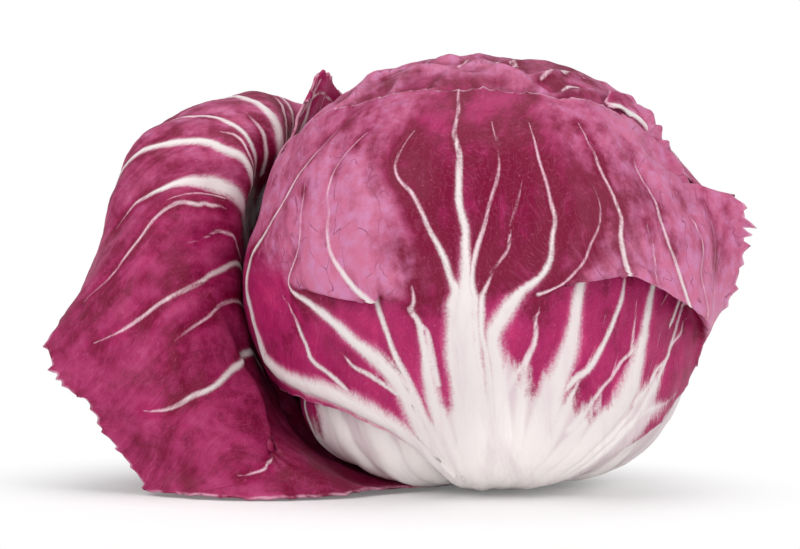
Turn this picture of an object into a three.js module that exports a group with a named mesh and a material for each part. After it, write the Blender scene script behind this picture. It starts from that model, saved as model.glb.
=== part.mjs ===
// Radicchio head: wrapped leaves in layers round a short stem, and one outer leaf splayed to the left.
// Millimetres, +Z up, the head's front towards -Y. The origin is the centre of the cut stem's face.
//
// A leaf is a net of lines. Each line runs along a rib, from the stem to the leaf's margin, and every
// line has the same number of stations. A smooth surface goes through the net, and the leaf is a thin
// closed sheet inside that surface.
import * as THREE from "three";

// Driving dimensions
const STEM_RADIUS = 9.2;
const STEM_TIP = 33;
const SHRINK_HEIGHT = 35; // a smaller leaf is the outer shape shrunk towards this height on the axis
const LAYER_STEP = 0.045; // from one layer of leaves to the next, as a share of the outer size
const SHOULDER_ANGLE = 88; // the head is flattened over its right shoulder, around this angle
const SHOULDER_ANGLE_REACH = 44;
const SHOULDER_RISE = 129; // and around this rise
const SHOULDER_RISE_REACH = 22;
const SHOULDER_DEPTH = 0.085; // by this share of the outer size, and by less inside
const INNER_LEAVES = 12;
const INNER_FIRST_SIZE = 0.82;
const FIRST_INNER_MIDRIB = 40; // degrees round the stem, from the front
const TURN_BETWEEN_LEAVES = 137.5;
const CROWN_MIDRIB = 180;
const BACK_LEFT_MIDRIB = -118;
const LEAF_THICKNESS = 1.2;
const INNER_THICKNESS = 0.9;

// The head's outline: [rise in degrees, radius, height], from the stem over the widest part to the top.
const HEAD_OUTLINE = [
  [0, 0, 2.4], [15, 17, 2.8], [30, 34, 5.8], [45, 47, 15], [60, 56.5, 29.5], [75, 62.5, 45.5],
  [90, 65, 60], [105, 63.5, 74.5], [120, 58.5, 88], [135, 49.5, 99.5], [150, 36, 108.5],
  [165, 19, 114.5], [180, 0, 116.5],
];
const OUTLINE_STEP = 15;

// Front leaf: [angle round the head, rise, lift off the head's outline]. Angle 0 is the front.
// Its lower blade goes up under a fold on each side, and the upper blade hangs over it.
const FRONT_LEAF = [
  [
    [-20, 9, 1.4], [-18, 28, 1.6], [-25, 44.5, 0.8], [-44, 54, 0.6], [-65, 57, 1.2], [-86, 60, 2],
    [-93, 77, 1.6], [-100, 94, -1.2], [-98, 106, -1.8], [-88, 122, -1.4], [-68, 138, -0.6],
  ],
  [
    [-17, 9, 1.4], [-15, 29, 1.6], [-23, 46, 0.8], [-41, 57, 0.8], [-60, 61, 1.6], [-79, 65, 3],
    [-84, 78, 2.6], [-80, 93, 1], [-71, 104, -1], [-62, 121, -1], [-52, 143, -0.4],
  ],
  [
    [-13, 9, 1.4], [-13, 30, 1.6], [-20, 45, 0.8], [-25, 62, 0], [-35, 73, 0.5], [-47, 81, 0.5],
    [-55, 87, 0.5], [-52, 98, 0], [-54, 110, 0], [-52, 124, 0], [-38, 147, 0],
  ],
  [
    [-11, 9, 1.4], [-11, 30, 1.6], [-17, 46, 0.8], [-22, 62, 0], [-27, 74, -1], [-30, 80, -1.5],
    [-30, 85, 0.8], [-39, 96, 0.5], [-44, 108, 0], [-45, 124, 0], [-30, 148, 0],
  ],
  [
    [-9, 9, 1.4], [-9, 30, 1.6], [-12, 47, 0.8], [-14, 62, 0], [-16, 75, 0], [-17, 82, 0],
    [-17, 88, 0], [-22, 101, 0], [-24.5, 113, 0], [-29, 126, 0], [-22, 149, 0],
  ],
  [
    [-6, 9, 1.4], [-6, 28, 1.6], [-6, 48, 0.8], [-6, 64, 0], [-7, 77, 0], [-7, 84, 0], [-7, 91, 0],
    [-7, 104, 0], [-9, 118, 0], [-11, 133, 0], [-14, 149, 0],
  ],
  [
    [-2, 9, 1.4], [0, 28, 1.6], [3, 46, 0.8], [1, 62, 0], [0, 75, 0], [4, 85, 0], [11, 92, 0],
    [13, 102, 0], [14, 112, 0], [12, 126, 0], [8, 148, 0],
  ],
  [
    [3, 9, 1.4], [7, 28, 1.6], [12, 46, 0.8], [16, 61, -0.5], [20, 75, -2], [21, 84, -1],
    [21, 90, 1.5], [24, 100, 1], [25, 112, 0.5], [21, 128, 0], [21, 147, 0],
  ],
  [
    [7, 9, 1.4], [13, 28, 1.6], [20, 46, 0.8], [27, 61, -0.5], [32, 74, -2.5], [34, 84, -1.2],
    [34, 89, 3], [34, 99, 2], [34, 111, 0.8], [32, 125, 0.3], [33, 146, 0],
  ],
  [
    [12, 9, 1.4], [20, 28, 1.6], [31, 46, 0.8], [39, 58, -1], [44, 70, -3], [46, 78, -1.3],
    [47, 84, 3.6], [45, 94, 2.6], [43, 106, 1.2], [42, 120, 0], [45, 143.5, -0.2],
  ],
  [
    [18, 9, 1.4], [29, 27, 1.6], [41, 43, 0.8], [50, 54, -1], [57, 64, -2.8], [60, 70, -1.2],
    [62, 76, 2.2], [63, 89, 1.2], [64, 102, 1.5], [62, 115, 1.2], [60, 138.5, -0.3],
  ],
  [
    [21, 9, 1.4], [33, 26, 1.6], [47, 41, 0.8], [63, 50, 0], [73, 57.5, -0.8], [74, 65, -1.4],
    [72, 74, -0.4], [74, 88, 1.5], [75, 99, 3], [74, 109, 4.8], [69, 129, 0.2],
  ],
];

// Splayed leaf: points in millimetres. Its first line lies on the floor and its last is at the back.
const SPLAYED_LEAF = [
  [
    [-7.6, -9, 1.5], [-17, -18, 1.7], [-30, -27, 2], [-39, -34, 1.4], [-51, -38, 1], [-62, -39, 0.8],
    [-73, -37, 1], [-82, -33, 1.2], [-91, -27, 1.4],
  ],
  [
    [-9.4, -7.6, 1.5], [-21, -16, 1.8], [-36, -22, 2.8], [-56, -26, 13.5], [-58, -29.5, 10.5],
    [-60, -33, 8], [-67, -35, 6.5], [-80, -33, 8.5], [-99, -23, 12],
  ],
  [
    [-11.2, -4.6, 1.5], [-32, -8, 2.6], [-52, -4, 12.5], [-60, 3.5, 28], [-64.5, -6, 37],
    [-69, -18, 33], [-79, -28, 26], [-89, -31, 23], [-107, -22, 24],
  ],
  [
    [-11.8, -2.8, 1.5], [-35, -3.5, 3.4], [-55, 3.4, 18], [-62.5, 10, 39], [-67, -3, 49],
    [-72, -13, 49], [-79, -22, 45], [-89, -28, 38], [-112, -19, 27],
  ],
  [
    [-12, -1.2, 1.5], [-36, 1.2, 4.4], [-56, 8, 24], [-65, 13, 47], [-67.4, 0, 59], [-74, -11, 57],
    [-83, -20, 54], [-96, -26, 45], [-117.5, -13, 34.5],
  ],
  [
    [-12, 0.4, 1.5], [-37, 5.2, 4.7], [-58, 11, 29], [-66, 16, 56], [-67.4, 2, 71], [-75, -5, 76],
    [-87, -11, 75], [-98, -16, 62], [-117, -8, 42],
  ],
  [
    [-12, 2, 1.5], [-37, 9, 5], [-58, 15, 31], [-66, 18, 60], [-66.4, 5, 75], [-74.5, 1, 81],
    [-86, -3, 81], [-98.5, -2, 73], [-112, 4, 49],
  ],
  [
    [-11.6, 3.4, 1.5], [-36, 14, 5], [-57, 20, 33], [-66, 20, 65], [-64.4, 6, 83], [-71, 5, 90],
    [-83, 6, 92], [-99, 9, 86.5], [-106, 22, 61],
  ],
  [
    [-11, 5, 1.5], [-34, 18, 5], [-56, 25, 35], [-64, 24, 68], [-63.4, 10, 88], [-69, 12, 97],
    [-81.5, 18, 98.5], [-93.5, 30, 92.5], [-101, 37, 66],
  ],
  [
    [-10.4, 6.4, 1.5], [-31, 23, 5], [-54, 32, 37], [-61, 30, 70], [-56.4, 19, 89], [-61, 22, 100.5],
    [-73.5, 36, 102.5], [-87.5, 47, 88.5], [-95, 52, 64],
  ],
  [
    [-9.4, 7.6, 1.5], [-27, 27, 5], [-50, 40, 37], [-58, 38, 68], [-54, 29, 91], [-55, 33, 100.5],
    [-61, 47, 101.5], [-72, 58, 85], [-80, 64, 62],
  ],
  [
    [-8, 9.2, 1.5], [-22, 30, 5], [-42, 48, 36], [-53, 47, 64], [-48, 41, 90], [-49, 45, 99],
    [-53, 57, 94], [-59, 67, 79], [-65, 73, 60],
  ],
];

// Lower left leaf, one layer in and showing below the front leaf's edge: [angle, rise, lift]
const LOWER_LEFT_LEAF = [
  [
    [-78, 9, 0], [-84, 20, 0.9], [-88, 30, 1.8], [-89, 40, 4.6], [-88, 48, 6], [-85, 56, 3.2],
    [-80, 63, 0.6],
  ],
  [
    [-66, 9, 0.8], [-70, 20, 2.4], [-73, 32, 4], [-74, 43, 6.6], [-74, 52, 5], [-72, 61, 1.2],
    [-68, 70, 0],
  ],
  [
    [-54, 9, 1.2], [-57, 20, 3.6], [-59, 32, 5], [-60, 43, 4.4], [-60, 52, 1.4], [-58, 62, 0],
    [-55, 74, 0],
  ],
  [[-42, 9, 1.6], [-43, 20, 4], [-44, 32, 4.8], [-44, 42, 2], [-44, 52, 0], [-43, 64, 0], [-41, 76, 0]],
  [
    [-30, 9, 1.4], [-29, 20, 3.2], [-29, 31, 2.6], [-28, 43, 0.4], [-28, 54, 0], [-27, 66, 0],
    [-26, 78, 0],
  ],
  [[-18, 9, 0.5], [-15, 20, 1], [-14, 31, 0.4], [-14, 43, 0], [-14, 54, 0], [-13, 66, 0], [-13, 78, 0]],
  [[-6, 9, 0], [-2, 20, 0], [0, 31, 0], [0, 43, 0], [0, 54, 0], [0, 66, 0], [0, 76, 0]],
];

// Right leaf, one layer in and showing between the front leaf and the crown leaf: [angle, rise, lift]
const RIGHT_LEAF = [
  [
    [22, 9, 0], [24, 20, 0], [26, 32, 0], [30, 44, 0], [36, 56, 0], [42, 70, 0], [50, 84, 0],
    [60, 96, 0],
  ],
  [
    [40, 9, 0.6], [42, 20, 2], [45, 32, 1.8], [48, 43, 0.2], [50, 56, 0], [54, 72, 0], [60, 90, 0],
    [68, 106, 0],
  ],
  [
    [58, 9, 1.2], [60, 20, 3.4], [62, 32, 4], [65, 43, 2.2], [66, 54, 0.5], [68, 72, 0], [72, 94, 0],
    [78, 114, 0],
  ],
  [
    [76, 9, 1.2], [78, 20, 3.6], [80, 33, 4.4], [81, 45, 3.8], [82, 58, 2.4], [83, 74, 0.6],
    [85, 96, 0], [88, 118, 0],
  ],
  [
    [92, 9, 0.6], [92, 20, 2], [93, 33, 2.6], [94, 45, 2.2], [95, 59, 1.6], [96, 75, 0.8],
    [97, 97, 0.4], [98, 120, 0],
  ],
  [
    [112, 9, 0], [112, 20, 0], [112, 33, 0], [112, 46, 0.2], [112, 60, 0.2], [112, 76, 0],
    [110, 97, 0], [108, 116, 0],
  ],
  [
    [130, 9, 0], [130, 20, 0], [130, 33, 0], [129, 46, 0], [128, 60, 0], [127, 75, 0], [124, 92, 0],
    [120, 108, 0],
  ],
  [
    [148, 9, 0], [148, 20, 0], [147, 32, 0], [146, 44, 0], [144, 57, 0], [142, 71, 0], [138, 86, 0],
    [132, 98, 0],
  ],
];

// Tip leaf: narrow, flat against the back left, with its pointed tip standing clear of the head
const TIP_LEAF = [
  [
    [-109, 9, 0], [-110, 24, 0], [-111, 42, 0], [-111, 64, 0], [-110, 88, 0], [-104, 112, 0],
    [-106, 126, 1], [-110, 133, 4], [-113, 135, 6.5],
  ],
  [
    [-119, 9, 0], [-120, 24, 0], [-121, 42, 0], [-121, 64, 0], [-120, 88, 0], [-113, 112, 0],
    [-112, 127, 1.5], [-115, 134, 5.5], [-117, 139, 9.5],
  ],
  [
    [-129, 9, 0], [-130, 24, -0.4], [-131, 42, -0.3], [-131, 64, 0], [-130, 88, 0], [-123, 112, 0],
    [-121, 128, 1.5], [-122, 135, 5.5], [-122, 139, 9],
  ],
  [
    [-139, 9, 0], [-139, 24, -0.5], [-140, 42, -0.4], [-140, 64, 0], [-140, 87, 0], [-134, 112, 0],
    [-133, 126, 1], [-131, 133, 4], [-128, 136, 6],
  ],
];

// Back right leaf, from the back over the right shoulder to the crown: [angle, rise, lift]
const BACK_RIGHT_LEAF = [
  [
    [110, 9, 0], [105, 24, 0], [102, 42, 0], [101, 64, 0], [98, 88, 0], [91, 104, -0.4],
    [83, 118, -0.9], [77, 130, -1], [71, 139, -0.9], [63, 143.5, -0.8], [53, 145.5, -0.8],
  ],
  [
    [117, 9, 0], [113, 24, 0.3], [110, 42, 0.3], [109, 64, 0.3], [107, 88, 0.3], [105, 104, 0.3],
    [101, 118, 0], [94, 131, -0.1], [80, 140.5, -0.2], [67, 145.5, -0.3], [55, 147.5, -0.6],
  ],
  [
    [126, 9, 0], [124, 24, 0.5], [122, 42, 0.6], [122, 64, 0.6], [121, 88, 0.6], [120, 104, 0.6],
    [117, 118, 0.5], [110, 131, 0.4], [97, 141, 0.4], [81, 147, 0.4], [62, 149.5, 0.3],
  ],
  [
    [142, 9, 0], [144, 24, 0.5], [145, 42, 0.6], [145, 64, 0.6], [144, 88, 0.6], [143, 104, 0.6],
    [139, 118, 0.5], [131, 130, 0.4], [118, 140, 0.3], [99, 146, 0.2], [73, 150, 0.2],
  ],
  [
    [158, 9, 0], [164, 24, 0], [168, 42, 0], [171, 64, 0], [171, 88, 0], [169, 104, 0], [164, 117, 0],
    [155, 128, 0], [140, 137, 0], [120, 143, 0], [86, 149, 0],
  ],
];

// Leaves that wrap over the top: [way along the midrib in degrees, half width in degrees, lift]
const CROWN_LEAF = [
  [9, 20, 0], [25, 40, 0], [45, 57, 0], [70, 67, 0], [95, 72, 0], [120, 74, 0.2], [145, 72, 1.2],
  [165, 68, 1.8], [185, 58, 2], [205, 46, 1], [222, 34, -1],
];
const BACK_LEFT_LEAF = [
  [9, 15, 0], [25, 35, 0], [45, 50, 0], [70, 56, 0], [95, 58, 0], [120, 54, 0], [145, 42, 0],
  [160, 24, 0],
];
const INNER_LEAF = [
  [9, 20, 0], [22, 40, 0], [36, 54, 0], [54, 63, 0], [76, 68, 0], [100, 70, 0], [126, 66, 0],
  [152, 56, 0], [176, 40, 0], [192, 22, 0],
];

// Turned outlines: [radius, height]
const HEART_BUD = [
  [0, 33.6], [8, 33.9], [14, 35.4], [17.5, 38.6], [18.8, 43], [18.4, 48], [16.6, 52], [13.5, 55], [9, 57.4],
  [4, 58.8], [0, 59.2],
];
const STEM = [
  [0, 0], [STEM_RADIUS - 0.5, 0], [STEM_RADIUS, 0.6], [STEM_RADIUS * 0.72, 9], [STEM_RADIUS * 0.4, 20],
  [1.2, STEM_TIP - 1], [0, STEM_TIP],
];

const radians = (degrees) => (degrees * Math.PI) / 180;

// A smooth curve through evenly spaced points, at t from 0 to the last point's index.
function along(points, t) {
  const last = points.length - 1;
  const i = Math.min(Math.max(Math.floor(t), 0), last - 1);
  const s = t - i;
  const slope = (k, c) => {
    const before = Math.max(k - 1, 0);
    const after = Math.min(k + 1, last);
    return (points[after][c] - points[before][c]) / (after - before);
  };
  return points[i].map((from, c) => {
    const to = points[i + 1][c];
    return (
      (2 * s ** 3 - 3 * s ** 2 + 1) * from +
      (s ** 3 - 2 * s ** 2 + s) * slope(i, c) +
      (3 * s ** 2 - 2 * s ** 3) * to +
      (s ** 3 - s ** 2) * slope(i + 1, c)
    );
  });
}

function outlineAt(rise) {
  const [, radius, height] = along(HEAD_OUTLINE, Math.min(Math.max(rise, 0), 180) / OUTLINE_STEP);
  return [radius, height];
}

// The point at an angle and a rise on the head, shrunk to a layer's size and lifted off along the normal.
function onHead(angle, rise, lift, outerSize) {
  const turned = ((((angle - SHOULDER_ANGLE + 180) % 360) + 360) % 360) - 180;
  const across = (turned / SHOULDER_ANGLE_REACH) ** 2;
  const upward = ((rise - SHOULDER_RISE) / SHOULDER_RISE_REACH) ** 2;
  const near = Math.exp(-across - upward);
  const size = outerSize * (1 - SHOULDER_DEPTH * outerSize ** 2 * near);
  const [radius, height] = outlineAt(rise);
  const [radiusBefore, heightBefore] = outlineAt(rise - 0.5);
  const [radiusAfter, heightAfter] = outlineAt(rise + 0.5);
  const run = radiusAfter - radiusBefore;
  const climb = heightAfter - heightBefore;
  const length = Math.hypot(run, climb);
  const out = radius * size + (climb / length) * lift;
  const up = SHRINK_HEIGHT + (height - SHRINK_HEIGHT) * size - (run / length) * lift;
  return new THREE.Vector3(out * Math.sin(radians(angle)), -out * Math.cos(radians(angle)), up);
}

// The same point, reached by going way degrees along a midrib that starts at the stem, then across it.
function overHead(midribAngle, way, across, lift, size) {
  const forward = Math.cos(radians(across)) * Math.sin(radians(way));
  const sideways = Math.sin(radians(across));
  const upward = -Math.cos(radians(across)) * Math.cos(radians(way));
  const angle = midribAngle + (Math.atan2(sideways, forward) * 180) / Math.PI;
  return onHead(angle, (Math.acos(-upward) * 180) / Math.PI, lift, size);
}

// A leaf's surface as a function of u across its lines and v along its stations, both from 0 to 1.
function netSurface(net, place) {
  return (u, v) => {
    const stations = net.map((line) => along(line, v * (line.length - 1)));
    return place(along(stations, u * (net.length - 1)));
  };
}

const wrapped = (net, size) => netSurface(net, ([angle, rise, lift]) => onHead(angle, rise, lift, size));
const free = (net) => netSurface(net, (point) => new THREE.Vector3(...point));
const overTop = (stations, midribAngle, size) => (u, v) => {
  const [way, half, lift] = along(stations, v * (stations.length - 1));
  const across = 2 * u - 1;
  return overHead(midribAngle, way, across * half, lift * (1 - across * across), size);
};

// A closed sheet: the surface is its outer face, and its inner face lies thickness inside.
function sheet(surface, columns, rows, thickness) {
  const step = 1e-3;
  const outer = [];
  const inner = [];
  for (let j = 0; j <= rows; j++) {
    for (let i = 0; i <= columns; i++) {
      const u = i / columns;
      const v = j / rows;
      const sideways = surface(Math.min(u + step, 1), v).sub(surface(Math.max(u - step, 0), v));
      const onwards = surface(u, Math.min(v + step, 1)).sub(surface(u, Math.max(v - step, 0)));
      const normal = sideways.cross(onwards).normalize();
      const point = surface(u, v);
      outer.push(point);
      inner.push(point.clone().addScaledVector(normal, -thickness));
    }
  }
  const across = columns + 1;
  const count = across * (rows + 1);
  const faces = [];
  const quad = (a, b, c, d) => faces.push(a, b, c, a, c, d);
  for (let j = 0; j < rows; j++) {
    for (let i = 0; i < columns; i++) {
      const a = j * across + i;
      quad(a, a + 1, a + 1 + across, a + across);
      quad(count + a, count + a + across, count + a + 1 + across, count + a + 1);
    }
  }
  for (let i = 0; i < columns; i++) {
    const top = rows * across + i;
    quad(i, count + i, count + i + 1, i + 1);
    quad(top, top + 1, count + top + 1, count + top);
  }
  for (let j = 0; j < rows; j++) {
    const left = j * across;
    const right = left + columns;
    quad(left, left + across, count + left + across, count + left);
    quad(right, count + right, count + right + across, right + across);
  }
  const geometry = new THREE.BufferGeometry().setFromPoints([...outer, ...inner]);
  geometry.setIndex(faces);
  geometry.computeVertexNormals();
  return geometry;
}

function turned(profile, sides) {
  const points = profile.map(([radius, height]) => new THREE.Vector2(radius, height));
  return new THREE.LatheGeometry(points, sides).rotateX(Math.PI / 2);
}

const leafRed = new THREE.MeshStandardMaterial({ color: 0x9c2256, roughness: 0.45, metalness: 0 });
const heartRed = new THREE.MeshStandardMaterial({ color: 0xa83565, roughness: 0.45, metalness: 0 });
const stemCream = new THREE.MeshStandardMaterial({ color: 0xe9e2d6, roughness: 0.6, metalness: 0 });

const head = new THREE.Group();
function add(name, geometry, material) {
  const mesh = new THREE.Mesh(geometry, material);
  mesh.name = name;
  head.add(mesh);
}

// Layers from the outside in
const size = (layer) => 1 - layer * LAYER_STEP;

// Outer leaves: [name, surface, cells across, cells along, thickness]
const OUTER_LEAVES = [
  ["front_leaf", wrapped(FRONT_LEAF, size(0)), 22, 22, LEAF_THICKNESS],
  ["splayed_leaf", free(SPLAYED_LEAF), 22, 16, LEAF_THICKNESS],
  ["back_right_leaf", wrapped(BACK_RIGHT_LEAF, size(0)), 10, 20, LEAF_THICKNESS],
  ["tip_leaf", wrapped(TIP_LEAF, size(0.2)), 6, 14, LEAF_THICKNESS],
  ["crown_leaf", overTop(CROWN_LEAF, CROWN_MIDRIB, size(1)), 14, 20, LEAF_THICKNESS],
  ["lower_left_leaf", wrapped(LOWER_LEFT_LEAF, size(2)), 12, 10, LEAF_THICKNESS],
  ["right_leaf", wrapped(RIGHT_LEAF, size(2)), 14, 12, LEAF_THICKNESS],
  ["back_left_leaf", overTop(BACK_LEFT_LEAF, BACK_LEFT_MIDRIB, size(3)), 12, 12, INNER_THICKNESS],
];
for (const [name, surface, columns, rows, thickness] of OUTER_LEAVES) {
  add(name, sheet(surface, columns, rows, thickness), leafRed);
}

for (let k = 0; k < INNER_LEAVES; k++) {
  const midrib = FIRST_INNER_MIDRIB + TURN_BETWEEN_LEAVES * k;
  const surface = overTop(INNER_LEAF, midrib, INNER_FIRST_SIZE - k * LAYER_STEP);
  const name = `inner_leaf_${String(k + 1).padStart(2, "0")}`;
  const [columns, rows] = k < INNER_LEAVES / 2 ? [8, 10] : [6, 8];
  add(name, sheet(surface, columns, rows, INNER_THICKNESS), heartRed);
}

add("heart_bud", turned(HEART_BUD, 14), heartRed);

add("stem", turned(STEM, 20), stemCream);

export default head;
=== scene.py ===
"""Radicchio head: the leaves' looks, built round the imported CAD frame.

A leaf is a net of lines. Each line runs along a rib from the stem to the margin, through the same number
of stations, and a smooth surface goes through the net. A position on a leaf is (u, v): u counts lines
across the leaf and v counts stations along it. Leaf sizes are in millimetres until the mesh is made.
"""
import math
import random

import bmesh
import bpy
import numpy as np
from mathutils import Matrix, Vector, noise


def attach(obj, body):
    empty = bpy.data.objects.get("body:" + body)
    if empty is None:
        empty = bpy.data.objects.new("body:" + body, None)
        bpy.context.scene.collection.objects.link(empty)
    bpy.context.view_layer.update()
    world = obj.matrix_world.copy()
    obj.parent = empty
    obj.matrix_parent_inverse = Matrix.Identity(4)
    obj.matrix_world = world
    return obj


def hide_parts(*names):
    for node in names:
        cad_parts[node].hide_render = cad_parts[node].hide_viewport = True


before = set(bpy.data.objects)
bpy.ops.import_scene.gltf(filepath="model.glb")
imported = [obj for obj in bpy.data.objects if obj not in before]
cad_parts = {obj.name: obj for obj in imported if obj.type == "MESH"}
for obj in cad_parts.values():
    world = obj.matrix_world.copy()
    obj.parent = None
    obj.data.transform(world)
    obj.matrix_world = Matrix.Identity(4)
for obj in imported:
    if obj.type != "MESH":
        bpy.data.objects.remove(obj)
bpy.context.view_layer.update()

MM = 0.001
SHRINK_HEIGHT = 35  # a smaller leaf is the outer shape shrunk towards this height on the axis
LAYER_STEP = 0.045  # from one layer of leaves to the next, as a share of the outer size
BLADE = 0.7  # thickness of a leaf's blade
CELL_SHAPE = 1.35  # a cell of a blade's mesh is this much longer along the leaf than across
FLOOR_GAP = 0.3  # a leaf that lies on the floor flattens this far above it
STATION_REACH = 7  # added to a distance for each station between two points, so folds stay apart
RIB_REACH = 12  # points farther than this from a rib aren't measured from it

# A blade's relief: its puckers, its wrinkles and its margin's ruffle are noise of these wavelengths
PUCKER, WRINKLE, RUFFLE = 11, 3.2, 6
WRINKLE_HEIGHT = 0.12
VALLEY = 5  # the blade dips along its veins, over this way
BETWEEN_VEINS = 0.4  # the share of the dips' depth by which the blade stands out between the veins
RELIEF_START, RUFFLE_START = 25, 60  # the ways from the stem over which the relief and the ruffle grow
RUFFLE_REACH = 7  # from the margin inwards
TOOTH_STEP = 0.2  # along a margin
TOOTH_ROWS = 6  # the rows of the mesh that a tooth is drawn out from

INNER_WHITE_HEIGHT = 30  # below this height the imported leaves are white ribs

# The head's outline: radius and height at each 15 degrees of rise, from the stem to the top
OUTLINE = np.array([
    (0, 2.4), (17, 2.8), (34, 5.8), (47, 15), (56.5, 29.5), (62.5, 45.5), (65, 60),
    (63.5, 74.5), (58.5, 88), (49.5, 99.5), (36, 108.5), (19, 114.5), (0, 116.5)], float)
OUTLINE_STEP = 15
SHOULDER = (88, 44), (129, 22)  # where the head is flattened: its angle and rise, each with its reach
SHOULDER_DEPTH = 0.085

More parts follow.
